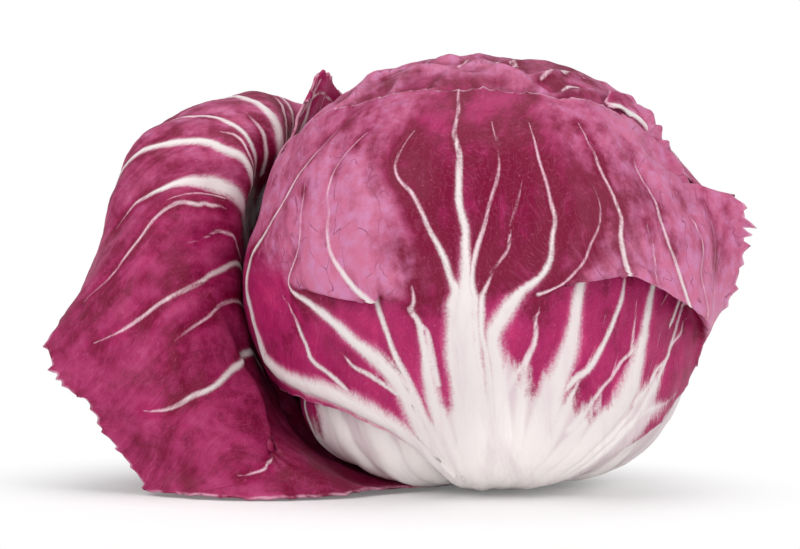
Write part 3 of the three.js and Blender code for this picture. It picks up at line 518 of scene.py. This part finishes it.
def fan_ribs(surface, seed, sides, width):
    """Ribs that fan out from the stem on both sides of the midrib, with thinner veins that leave them."""
    draw = random.Random(seed)
    middle, end = surface.across / 2, surface.stations
    ribs = [[(middle, v, width * max(0, 1 - v / end) ** 0.7) for v in np.linspace(0, end, 9)]]
    for k in range(1, sides + 1):
        for side in (-1, 1):
            share = k / (sides + 0.6) * draw.uniform(0.93, 1.05)
            reach = end * (0.95 - 0.35 * share + draw.uniform(-0.05, 0.05))
            bend = draw.uniform(0.05, 0.16)
            points = []
            for t in np.linspace(0, 1, 9):
                u = middle * (1 + side * share * (1 + bend * math.sin(math.pi * t) + 0.12 * t * t))
                wide = width * (0.85 - 0.3 * share) * (1 - t) ** 0.9
                points.append((u + 0.02 * middle * draw.uniform(-1, 1) * t, t * reach, wide))
            ribs.append(points)
    return ribs + side_veins(ribs, seed + 1, 4, 0.12 * middle, 1)


def tooth_line(length, seed, height, spacing, extra):
    """Teeth along a margin, as heights at places along it. extra holds (place, height, width)."""
    draw = random.Random(seed)
    teeth = list(extra)
    place = draw.uniform(0, spacing)
    while place < length:
        teeth.append((place, height * draw.uniform(0.3, 1), spacing * draw.uniform(0.35, 0.9)))
        place += spacing * draw.uniform(0.5, 1.6)
    s = np.arange(0, length + TOOTH_STEP, TOOTH_STEP)
    out = np.zeros(len(s))
    for middle, tall, wide in teeth:
        out = np.maximum(out, tall * np.clip(1 - np.abs(s - middle) / (wide / 2), 0, 1) ** 1.3)
    return s, out


def cut_teeth(points, us, vs, teeth, seed):
    """Draws a grid's margins out into teeth, within the leaf's surface.

    Each margin is (side, height, spacing, extra), and extra holds teeth at places of the net.
    """
    for side, tall, spacing, extra in teeth:
        rows, knots = {"left": (points.transpose(1, 0, 2), vs),
                       "right": (points.transpose(1, 0, 2)[::-1], vs),
                       "tip": (points[::-1], us)}[side]
        steps = np.linalg.norm(np.diff(rows[0], axis=0), axis=-1)
        way = np.concatenate([[0], np.cumsum(steps)])
        placed = [(np.interp(place, knots, way), height, width) for place, height, width in extra]
        amount = np.interp(way, *tooth_line(way[-1], seed + len(side), tall, spacing, placed))
        out = rows[0] - rows[4]
        out /= np.maximum(np.linalg.norm(out, axis=-1, keepdims=True), 1e-9)
        for k in range(TOOTH_ROWS):
            rows[k] += out * (amount * (1 - k / TOOTH_ROWS))[:, None]


def grid_mesh(name, points):
    """A mesh through a grid of points in mm, and the grid's row and column of each of its vertices."""
    rows, columns = points.shape[:2]
    made = bmesh.new()
    bmesh.ops.create_grid(made, x_segments=columns - 1, y_segments=rows - 1, size=1)
    places = []
    for vert in made.verts:
        column = round((vert.co.x + 1) / 2 * (columns - 1))
        row = round((vert.co.y + 1) / 2 * (rows - 1))
        places.append((row, column))
        vert.co = Vector(points[row, column]) * MM
    mesh = bpy.data.meshes.new(name)
    made.to_mesh(mesh)
    made.free()
    for polygon in mesh.polygons:
        polygon.use_smooth = True
    return mesh, tuple(np.array(places).T)


def store(mesh, name, field):
    """Keeps a number or a vector at each vertex of a mesh, for its material."""
    kind, key = ("FLOAT", "value") if field.ndim == 1 else ("FLOAT_VECTOR", "vector")
    attribute = mesh.attributes.new(name, kind, "POINT")
    attribute.data.foreach_set(key, field.astype(np.float32).ravel())


def even_paint(tone, bloom_and_sheen):
    """A blade that is the same all over: its tone, from 0 for the darkest crimson to 1 for the brightest,
    and its share of pale bloom, which is partly wax bloom and partly painted sheen."""
    return lambda u, v: (tone + 0 * u, bloom_and_sheen + 0 * u)


def leaf(node, surface, ribs, cell, material, seed, teeth=(), crumple=0.35, quilt=0.5, rib_height=0.3,
         white_base=((0,), (30,)), ruffle=1, paint=even_paint(0.45, 0.12), waves=None):
    """Makes the blade of one leaf, in place of a CAD node: ribs in relief, puckers, and a toothed margin.

    white_base says how far up from the stem, in mm, the blade is white at some lines of the net. paint and
    waves are functions of (u, v): paint gives the tone and the pale bloom with painted sheen, and waves
    gives more relief in mm.
    """
    us = spaced(surface, surface.across, cell, True)
    vs = spaced(surface, surface.stations, cell * CELL_SHAPE, False)
    u, v = np.meshgrid(us, vs)
    points = surface.at(u, v)
    across, along = ways(points)
    margin = np.minimum.reduce([across - across[:, [0]], across[:, [-1]] - across, along[[-1]] - along])
    inside, height, away, wide = rib_fields(points, v, surface, ribs)

    grown = ramp(along, RELIEF_START)
    lift = rib_height * height
    lift += quilt * (BETWEEN_VEINS - bell(away, VALLEY)) * grown
    lift += crumple * soft_noise(points, PUCKER, seed) * grown
    lift += WRINKLE_HEIGHT * soft_noise(points, WRINKLE, seed + 1) * grown
    near_margin = np.exp(-margin / RUFFLE_REACH) * ramp(along, RUFFLE_START)
    lift += ruffle * near_margin * soft_noise(points, RUFFLE, seed + 2, 1)
    if waves:
        lift += waves(u, v)
    points = points + normals(points) * lift[..., None]
    cut_teeth(points, us, vs, teeth, seed)
    points[..., 2] = np.maximum(points[..., 2], FLOOR_GAP)

    mesh, places = grid_mesh(node + "_blade", points)
    tone, bloom_and_sheen = paint(u, v)
    fields = {"rib": inside, "wide": wide, "away": away, "margin": margin,
              "base": np.interp(u, *white_base) - along, "tone": tone, "bloom_and_sheen": bloom_and_sheen,
              "flow": np.stack([across, along, np.full_like(u, seed * 10.0)], -1)}
    for name, field in fields.items():
        store(mesh, name, field[places])
    mesh.materials.append(material)
    piece = bpy.data.objects.new(node + "_blade", mesh)
    bpy.context.collection.objects.link(piece)
    wall = piece.modifiers.new("wall", "SOLIDIFY")
    wall.thickness = BLADE * MM
    wall.offset = -1
    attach(piece, "root")
    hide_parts(node)


class Socket:
    """A value in a node tree. Python's operators add Math nodes."""

    def __init__(self, tree, socket):
        self.tree, self.socket = tree, socket

    def math(self, operation, *values):
        return self.tree.node("ShaderNodeMath", {"operation": operation}, values)

    def __add__(self, other): return self.math("ADD", self, other)
    def __radd__(self, other): return self.math("ADD", other, self)
    def __sub__(self, other): return self.math("SUBTRACT", self, other)
    def __rsub__(self, other): return self.math("SUBTRACT", other, self)
    def __mul__(self, other): return self.math("MULTIPLY", self, other)
    def __rmul__(self, other): return self.math("MULTIPLY", other, self)
    def __truediv__(self, other): return self.math("DIVIDE", self, other)
    def highest(self, other): return self.math("MAXIMUM", self, other)

    def step(self, low, high):
        """0 below low, 1 above high, and a smooth step between; low may be over high."""
        if low > high:
            return 1 - self.step(high, low)
        settings = {"interpolation_type": "SMOOTHSTEP"}
        return self.tree.node("ShaderNodeMapRange", settings,
                              {"Value": self, "From Min": low, "From Max": high})


class Tree:
    """A node tree, with one method that makes any node."""

    def __init__(self, owner):
        owner.use_nodes = True
        self.nodes, self.links = owner.node_tree.nodes, owner.node_tree.links

    def node(self, kind, settings=None, values=None, out=0):
        node = self.nodes.new(kind)
        for key, setting in (settings or {}).items():
            setattr(node, key, setting)
        pairs = values.items() if isinstance(values, dict) else enumerate(values or ())
        for key, value in pairs:
            self.put(node.inputs[key], value)
        return Socket(self, node.outputs[out])

    def put(self, target, value):
        if isinstance(value, Socket):
            self.links.new(value.socket, target)
        elif value is not None:
            target.default_value = value

    def mix(self, share, first, second):
        """A colour between two, each a Socket or an RGB triple."""
        node = self.nodes.new("ShaderNodeMix")
        node.data_type = "RGBA"
        node.clamp_factor = True
        colours = [c if isinstance(c, Socket) else (*c, 1) for c in (first, second)]
        self.put(node.inputs["Factor"], share)
        self.put(node.inputs["A"], colours[0])
        self.put(node.inputs["B"], colours[1])
        return Socket(self, next(o for o in node.outputs if o.enabled and o.type == "RGBA"))

    def attribute(self, name, vector=False):
        return self.node("ShaderNodeAttribute", {"attribute_name": name}, out="Vector" if vector else "Fac")

    def vector(self, operation, *values, out=0):
        return self.node("ShaderNodeVectorMath", {"operation": operation}, values, out)

    def stretch(self, where, scale):
        return self.vector("MULTIPLY", where, scale)

    def place(self):
        """Positions on the object, in mm."""
        return self.stretch(self.node("ShaderNodeTexCoord", out="Object"), (1 / MM, 1 / MM, 1 / MM))

    def noise(self, where, scale, detail=2, roughness=0.5):
        values = {"Vector": where, "Scale": scale, "Detail": detail, "Roughness": roughness}
        return self.node("ShaderNodeTexNoise", None, values)

    def cell_edges(self, where, scale):
        """The way to the edges of a pattern of cells."""
        return self.node("ShaderNodeTexVoronoi", {"feature": "DISTANCE_TO_EDGE"},
                         {"Vector": where, "Scale": scale})

    def bump(self, height, strength, distance):
        values = {"Height": height, "Strength": strength, "Distance": distance}
        return self.node("ShaderNodeBump", None, values)


class Material(Tree):
    """A material whose shader is a Principled BSDF."""

    def __init__(self, name):
        self.made = bpy.data.materials.new(name)
        super().__init__(self.made)
        self.shader = self.nodes["Principled BSDF"]

    def finish(self, **values):
        for key, value in values.items():
            self.put(self.shader.inputs[key.replace("_", " ")], value)
        return self.made


def srgb(red, green, blue):
    """A colour given as it looks on screen, 0 to 255, as the linear values that a shader takes."""
    scaled = [c / 255 for c in (red, green, blue)]
    return tuple(c / 12.92 if c <= 0.04045 else ((c + 0.055) / 1.055) ** 2.4 for c in scaled)


DEEP = srgb(112, 0, 46)
CRIMSON = srgb(156, 26, 86)
BRIGHT = srgb(188, 44, 104)
PINK = srgb(205, 100, 146)
# pale wax bloom, also used as painted sheen
BLOOM_AND_SHEEN = srgb(192, 104, 138)
LILAC = srgb(190, 124, 166)
BLUSH = srgb(226, 176, 196)
WHITE = srgb(242, 235, 233)
# painted shade: a greyer white for the ribs above the white base, and a grey-pink for the grooves of the
# base
RIB_WHITE_SHADED = srgb(220, 211, 211)
SHADE = srgb(207, 188, 195)
STEM_CREAM = srgb(226, 214, 190)
STEM_TAN = srgb(204, 180, 142)
STEM_BROWN = srgb(150, 104, 70)
FLOOR_WHITE = srgb(240, 240, 240)


def leaf_material():
    """Crimson blade, mottled and fibrous, with dark hair veins, white feathered ribs, painted sheen and
    painted shade.
    """
    m = Material("red_leaf")
    flow, place = m.attribute("flow", True), m.place()
    rib, wide, base, tone, bloom_and_sheen = [m.attribute(key) for key in ("rib", "wide", "base", "tone", "bloom_and_sheen")]
    fine = m.noise(flow, 1.3, 3, 0.6) - 0.5
    fibres = m.noise(m.stretch(flow, (0.9, 0.2, 1)), 1, 3, 0.55) - 0.5
    streaks = m.noise(m.stretch(flow, (0.2, 0.035, 1)), 1, 4, 0.6) - 0.5
    mottle = m.noise(place, 0.085, 5, 0.62) - 0.5
    patches = m.noise(place, 0.27, 4, 0.6) - 0.5

    # where it is white: the ribs, feathered along the fibres, and the blade near the stem
    edge = rib + (fine * 0.8 + fibres * 0.5 + streaks * 0.9) * (0.35 + wide * 0.9)
    rib_share = (edge / (0.28 + wide * 0.5)).step(-0.9, 0.9)
    base_share = (base + streaks * 24 + mottle * 16 + fine * 7 + fibres * 9 + rib * 2.2).step(-6, 4)
    white_share = rib_share.highest(base_share)
    halo = (edge + wide * 0.5).step(-1.2, 0.6) * wide.step(0.3, 1.4)

    # the blade: three crimsons, specks, and a pale bloom that is partly wax bloom and partly painted sheen
    # painted shade: within 3.5 mm of a vein the blade is darker and loses its pale sheen, as in the dips
    # along the veins
    near = m.attribute("away").step(3.5, 0)
    shade = tone + mottle * 1.2 + patches * 0.5 + streaks * 0.7 + fibres * 0.12 - near * 0.12
    colour = m.mix(shade.step(0.05, 0.55), DEEP, CRIMSON)
    colour = m.mix(shade.step(0.5, 1.05), colour, BRIGHT)
    specks = m.noise(flow, 1.1, 2, 0.5).step(0.6, 0.78)
    colour = m.mix(specks * 0.3, colour, PINK)
    clouds = mottle * 1.3 + patches * 0.5 + streaks * 0.7
    pale = (bloom_and_sheen + clouds * bloom_and_sheen.step(0, 0.4) - near * 0.25).step(0.05, 0.85)
    wax_and_sheen = m.mix(patches.step(-0.12, 0.2) * 0.8, BLOOM_AND_SHEEN, LILAC)
    colour = m.mix(pale, colour, wax_and_sheen)

    # dark hair veins and a net of fine pale ones
    drift = m.node("ShaderNodeTexNoise", None, {"Vector": flow, "Scale": 0.16}, out="Color")
    bent = m.vector("ADD", m.stretch(flow, (1, 0.6, 1)), m.stretch(drift, (9, 9, 0)))
    hair = m.cell_edges(bent, 0.085).step(0.022, 0.006) * patches.step(-0.12, 0.1)
    colour = m.mix(hair * (0.12 + 0.5 * pale), colour, DEEP)
    net_line = m.cell_edges(bent, 0.5).step(0.06, 0.0)
    colour = m.mix(net_line * 0.1, colour, PINK)
    colour = m.mix(halo * 0.4, colour, PINK)

    rim = m.attribute("margin").step(0.9, 0.2) * patches.step(-0.15, 0.1)
    colour = m.mix(rim * 0.6, colour, BLUSH)

    # painted shade: the white base is greyed in the grooves between its ribs and along streaks, and the
    # ribs above it are a darker white
    groove = rib.step(0.5, -1.2) * base_share
    rib_white_shaded = m.mix(base.step(-2, 26), RIB_WHITE_SHADED, WHITE)
    rib_colour = m.mix(wide.step(0.15, 0.75).highest(base_share), BLUSH, rib_white_shaded)
    rib_colour = m.mix(groove * 0.65 + streaks.step(-0.05, 0.2) * 0.4, rib_colour, SHADE)
    colour = m.mix(white_share, colour, rib_colour)

    height = fine * 0.45 + patches * 0.9 + fibres * 0.25 - hair * 0.8 - net_line * 0.3
    normal = m.bump(height * (1 - 0.7 * white_share), 0.35, 0.0004)
    roughness = 0.42 + 0.16 * fine + 0.06 * white_share
    return m.finish(Base_Color=colour, Roughness=roughness, Normal=normal, Specular_IOR_Level=0.18)


def inner_leaf_material():
    """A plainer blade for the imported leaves: crimson with pale veins, white towards the stem."""
    m = Material("inner_leaf")
    place = m.place()
    mottle = m.noise(place, 0.08, 4, 0.6) - 0.5
    fine = m.noise(place, 0.9, 3, 0.6) - 0.5
    veins = m.cell_edges(m.stretch(place, (1, 1, 0.35)), 0.11)
    vein = (veins + fine * 0.02).step(0.07, 0.03)
    height = m.node("ShaderNodeSeparateXYZ", None, [place], "Z")
    white_share = ((INNER_WHITE_HEIGHT - height) / 14 + mottle * 1.6).step(-0.5, 0.9).highest(vein * 0.9)
    colour = m.mix((0.5 + mottle * 1.4 + fine * 0.3).step(0.1, 0.9), DEEP, BRIGHT)
    colour = m.mix(white_share, colour, WHITE)
    normal = m.bump(fine * 0.5 + vein, 0.35, 0.0005)
    return m.finish(Base_Color=colour, Roughness=0.45 + 0.15 * fine, Normal=normal)


def stem_material():
    """The stem's cut face: cream pith with a ring of darker vessels, browned by drying."""
    m = Material("cut_stem")
    place = m.place()
    fine = m.noise(place, 1.1, 4, 0.65) - 0.5
    patches = m.noise(place, 0.25, 3, 0.6) - 0.5
    radius = m.vector("LENGTH", m.stretch(place, (1, 1, 0)), out="Value") + fine * 1.2
    ring = radius.step(4.2, 5) * radius.step(6.6, 5.6)
    rim = radius.step(7.6, 8.8)
    colour = m.mix((0.5 + patches * 1.5).step(0.2, 0.9), STEM_CREAM, STEM_TAN)
    colour = m.mix(ring * (0.4 + fine), colour, STEM_BROWN)
    colour = m.mix(rim * 0.7, colour, STEM_BROWN)
    normal = m.bump(fine + ring * 0.6, 0.5, 0.0004)
    return m.finish(Base_Color=colour, Roughness=0.6 + 0.2 * fine, Normal=normal)


# ---- the leaves that show


def make_front_leaf(material):
    surface = Net([line for line, _ in FRONT_LINES], 1)

    def slimmed(rib):
        return [(u, v, width * (UPPER_RIBS if v > FRONT_FOLD else 1)) for u, v, width in rib]

    ribs = line_ribs(FRONT_LINES, surface.stations) + FRONT_VEINS
    ribs = [wavy(slimmed(rib), k, 0.09) for k, rib in enumerate(ribs)]

    # the pale bloom on the left, the right and the patches, with the brighter tone there, is partly wax
    # bloom and partly a painted sheen of the side lamps
    def paint(u, v):
        cheek = ramp(2.8 - u, 0.7) * ramp(7.4 - v, 0.8) * ramp(v - 4.8, 0.6)
        left = ramp(7.6 - u, 1.6) * ramp(v - 5.4, 0.8) * ramp(10.6 - v, 1.6) * (1 - cheek)
        patch = bell(u - 5, 1.9) * bell(v - 6.8, 1.7)
        right = ramp(u - 12.2, 6) * ramp(v - 5.5, 0.5)
        low = ramp(7.6 - v, 1.5) * ramp(u - 12.5, 3) * ramp(v - 5.3, 0.4)
        top, under, ear = ramp(v - 8.6, 1.2), ramp(5.5 - v, 1), ramp(u - 18.6, 1)
        tone = 0.1 + 0.46 * np.maximum(under, cheek) + 0.26 * left + 0.26 * right + 0.2 * top
        bloom_and_sheen = 0.5 * left + 0.5 * patch + 0.68 * right + 0.5 * low + 0.12 * top - 0.25 * ear
        return tone, np.clip(bloom_and_sheen, 0, 0.95)

    def flare(u, v):
        notch = 4.5 * bell(v - 9.45, 0.25) * ramp(u - 17.6, 2)
        pleat = 3.5 * bell(u - 18.35 - (v - 8.4) * 0.9, 0.2) * ramp(v - 8.1, 0.5) * ramp(9.5 - v, 0.3)
        ear = 3 * ramp(u - 19, 1) ** 2 * ramp(v - 6, 1.5) * ramp(9.4 - v, 0.5)
        return ear - notch - pleat

    leaf("front_leaf", surface, ribs, 0.87, material, 3, crumple=0.3, ruffle=0.7, paint=paint, waves=flare,
         white_base=FRONT_WHITE,
         teeth=[("right", 1.6, 4, TORN_TEETH), ("tip", 1.6, 3.4, []), ("left", 0.6, 6, [])])


def net_leaf(name, lines, size, veins, side_count=2, **how):
    """A leaf from its lines and their ribs, in place of the CAD node of that name."""
    surface = Net([line for line, _ in lines], size)
    ribs = line_ribs(lines, surface.stations) + veins
    ribs = [wavy(rib, how["seed"] + k) for k, rib in enumerate(ribs)]
    ribs += side_veins(ribs, how["seed"] + 1, side_count, 0.6, 0.7)
    leaf(name, surface, ribs, **how)


def make_splayed_leaf(material):
    def paint(u, v):
        front, upper = ramp(v - 3.6, 0.8), ramp(u - 5, 3)
        # painted shade: near the head, in the valley by the ball, the blade is darker and loses its bloom;
        # the bloom higher up is partly painted sheen
        back = ramp(4.6 - v, 0.8) * ramp(u - 7, 1.5)
        return 0.18 + 0.17 * front - 0.35 * back, (0.16 + 0.2 * upper * front) * (1 - back)

    def fold(u, v):
        crest = v - 2.75
        reach = ramp(v - 3.2, 0.3) * ramp(5 - v, 0.5)
        return reach * (1.3 * bell(u - crest, 0.3) - 2 * bell(u - crest - 0.5, 0.26))

    net_leaf("splayed_leaf", SPLAYED_LINES, None, SPLAYED_VEINS, side_count=0, cell=0.85, material=material,
             seed=11, crumple=0.6, quilt=0.9, rib_height=0.4, white_base=((0,), (22,)), paint=paint,
             waves=fold, teeth=[("tip", 2.8, 4.6, []), ("left", 0.8, 6, []), ("right", 1.5, 6, [])])


def make_lower_left_leaf(material):
    net_leaf("lower_left_leaf", LOWER_LEFT_LINES, 1 - 2 * LAYER_STEP, [CORNER_RIB], side_count=0, cell=0.9,
             material=material, seed=41, white_base=((0, 0.5, 1, 1.6), (34, 30, 44, 58)),
             teeth=[("left", 1, 5, [])])


def make_right_leaf(material):
    net_leaf("right_leaf", RIGHT_LINES, 1 - 2 * LAYER_STEP, [], side_count=0, cell=1, material=material,
             seed=51, white_base=((0, 3, 4.5), (56, 52, 40)))


def make_tip_leaf(material):
    net_leaf("tip_leaf", TIP_LINES, 1 - 0.2 * LAYER_STEP, TIP_VEINS, cell=0.8, material=material, seed=61,
             paint=even_paint(0.6, 0.25),
             teeth=[("left", 1.2, 5, []), ("right", 1.2, 5, []), ("tip", 1.2, 3, [])])


def make_crown_leaf(material):
    surface = OverTop(CROWN, 180, 1 - LAYER_STEP)

    def ridges(u, v):
        share = u - 1
        out = np.zeros_like(u)
        for place, height, width, wiggle, phase in CREST_RIDGES:
            line = place + wiggle * np.sin(7 * share + phase) + 0.18 * np.sin(17 * share + 2 * phase)
            out += height * bell(v - line, width) * (0.7 + 0.3 * np.sin(9 * share + phase))
        return out * ramp(v - 6.2, 1.5)

    def paint(u, v):
        crest = ramp(v - 6.6, 1) * ramp(9 - v, 0.6)
        # painted highlight: the crest and the tops of its ridges get more pale bloom
        return 0.25 + 0 * u, 0.08 + 0.2 * crest + 0.25 * np.clip(ridges(u, v), 0, 1.5)

    ribs = [[(u, v * 0.72, width) for u, v, width in rib] for rib in fan_ribs(surface, 5, 4, 6)]
    leaf("crown_leaf", surface, ribs + CREST_VEINS, 0.95, material, 21, crumple=0.5, paint=paint,
         waves=lambda u, v: 1.1 * ridges(u, v),
         teeth=[("left", 1, 6, []), ("right", 1, 6, []), ("tip", 1, 5, [])])


def make_back_right_leaf(material):
    def paint(u, v):
        # pale bloom along the front margin over the shoulder, partly wax bloom and partly painted sheen
        return 0.5 + 0 * u, 0.2 + 0.45 * ramp(1.6 - u, 1) * ramp(v - 5.5, 1)

    net_leaf("back_right_leaf", BACK_RIGHT_LINES, 1, [SHOULDER_RIB], cell=0.95, material=material, seed=31,
             crumple=0.3, ruffle=0.4, paint=paint,
             teeth=[("left", 1.2, 5, []), ("right", 1.4, 5, []), ("tip", 1, 4, [])])


red_leaf = leaf_material()
for make in (make_front_leaf, make_splayed_leaf, make_lower_left_leaf, make_right_leaf, make_tip_leaf,
             make_crown_leaf, make_back_right_leaf):
    make(red_leaf)


# ---- the leaves inside the head, and the stem, keep their CAD bodies

inner_red, cut_stem = inner_leaf_material(), stem_material()
for name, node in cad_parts.items():
    if name.startswith(("back_left_leaf", "inner_leaf", "heart_bud")):
        node.data.materials[0] = inner_red
    elif name == "stem":
        node.data.materials[0] = cut_stem


# ---- stage, in metres

CAMERA_TARGET = Vector((-24.3, 0, 56.5)) * MM
CAMERA_FROM = 1.3
CAMERA_DROP = math.radians(5)
CAMERA_LENS, CAMERA_SENSOR = 216.7, 36  # mm
FLOOR_REACH = 3
SHADOW_CENTRE = (-0.04, -0.03)  # the floor keeps its shadow round here, and glows white farther out
SHADOW_ENDS = (0.055, 0.135)  # from the centre, where the shadow starts to fade and where it has gone
SHADOW_GLOW = 0.12  # the floor's own glow in the shadow
WORLD_LIGHT = 0.4  # on the object; the world is seen as white
LAMPS = {  # place, aim, size and watts
    "left_box": ((-0.9, -0.5, 0.75), (0, 0, 0.06), (0.7, 0.9), 6.6),
    "right_box": ((0.9, -0.6, 0.7), (0, 0, 0.06), (0.7, 0.9), 6.6),
    "top_box": ((0, 0.1, 1.2), (0, 0, 0.05), (1, 1), 6),
    "low_box": ((0.1, -0.9, 0.12), (0, 0, 0.03), (1.4, 0.2), 2.4),
}


def place_facing(thing, place, look):
    """Adds a camera or a lamp at a place, facing along look."""
    bpy.context.collection.objects.link(thing)
    thing.location = place
    thing.rotation_euler = look.to_track_quat("-Z", "Y").to_euler()


def make_camera():
    data = bpy.data.cameras.new("camera")
    data.sensor_width, data.lens = CAMERA_SENSOR, CAMERA_LENS
    camera = bpy.data.objects.new("camera", data)
    look = Vector((0, math.cos(CAMERA_DROP), -math.sin(CAMERA_DROP)))
    place_facing(camera, CAMERA_TARGET - look * CAMERA_FROM, look)
    bpy.context.scene.camera = camera


def make_lamp(name, place, aim, size, power):
    data = bpy.data.lights.new(name, "AREA")
    data.shape, data.size, data.size_y, data.energy = "RECTANGLE", size[0], size[1], power
    lamp = bpy.data.objects.new(name, data)
    place_facing(lamp, place, Vector(aim) - Vector(place))


def make_floor():
    made = bmesh.new()
    bmesh.ops.create_grid(made, x_segments=1, y_segments=1, size=FLOOR_REACH)
    mesh = bpy.data.meshes.new("floor")
    made.to_mesh(mesh)
    made.free()
    floor = bpy.data.objects.new("floor", mesh)
    bpy.context.collection.objects.link(floor)
    m = Material("white_floor")
    m.finish(Base_Color=(*FLOOR_WHITE, 1), Roughness=0.9)
    seen = m.node("ShaderNodeLightPath", out="Is Camera Ray")
    place = m.node("ShaderNodeTexCoord", out="Object")
    moved = m.vector("SUBTRACT", place, (*SHADOW_CENTRE, 0))
    far = m.vector("LENGTH", m.stretch(moved, (1, 1.3, 1)), out="Value").step(*SHADOW_ENDS)
    share = seen * (SHADOW_GLOW + (1 - SHADOW_GLOW) * far)
    glow = m.node("ShaderNodeEmission", None, {"Color": (1, 1, 1, 1), "Strength": 1})
    mixed = m.node("ShaderNodeMixShader", None, [share, Socket(m, m.shader.outputs[0]), glow])
    m.put(m.nodes["Material Output"].inputs["Surface"], mixed)
    mesh.materials.append(m.made)


def make_world():
    world = bpy.data.worlds.new("studio")
    bpy.context.scene.world = world
    tree = Tree(world)
    background = tree.nodes["Background"]
    camera_ray = tree.node("ShaderNodeLightPath", out="Is Camera Ray")
    seen = camera_ray.highest(tree.node("ShaderNodeLightPath", out="Is Transmission Ray"))
    tree.put(background.inputs["Color"], (1, 1, 1, 1))
    tree.put(background.inputs["Strength"], WORLD_LIGHT + (1 - WORLD_LIGHT) * seen)


make_camera()
make_floor()
make_world()
for name, settings in LAMPS.items():
    make_lamp(name, *settings)
bpy.context.scene.view_settings.view_transform = "Standard"
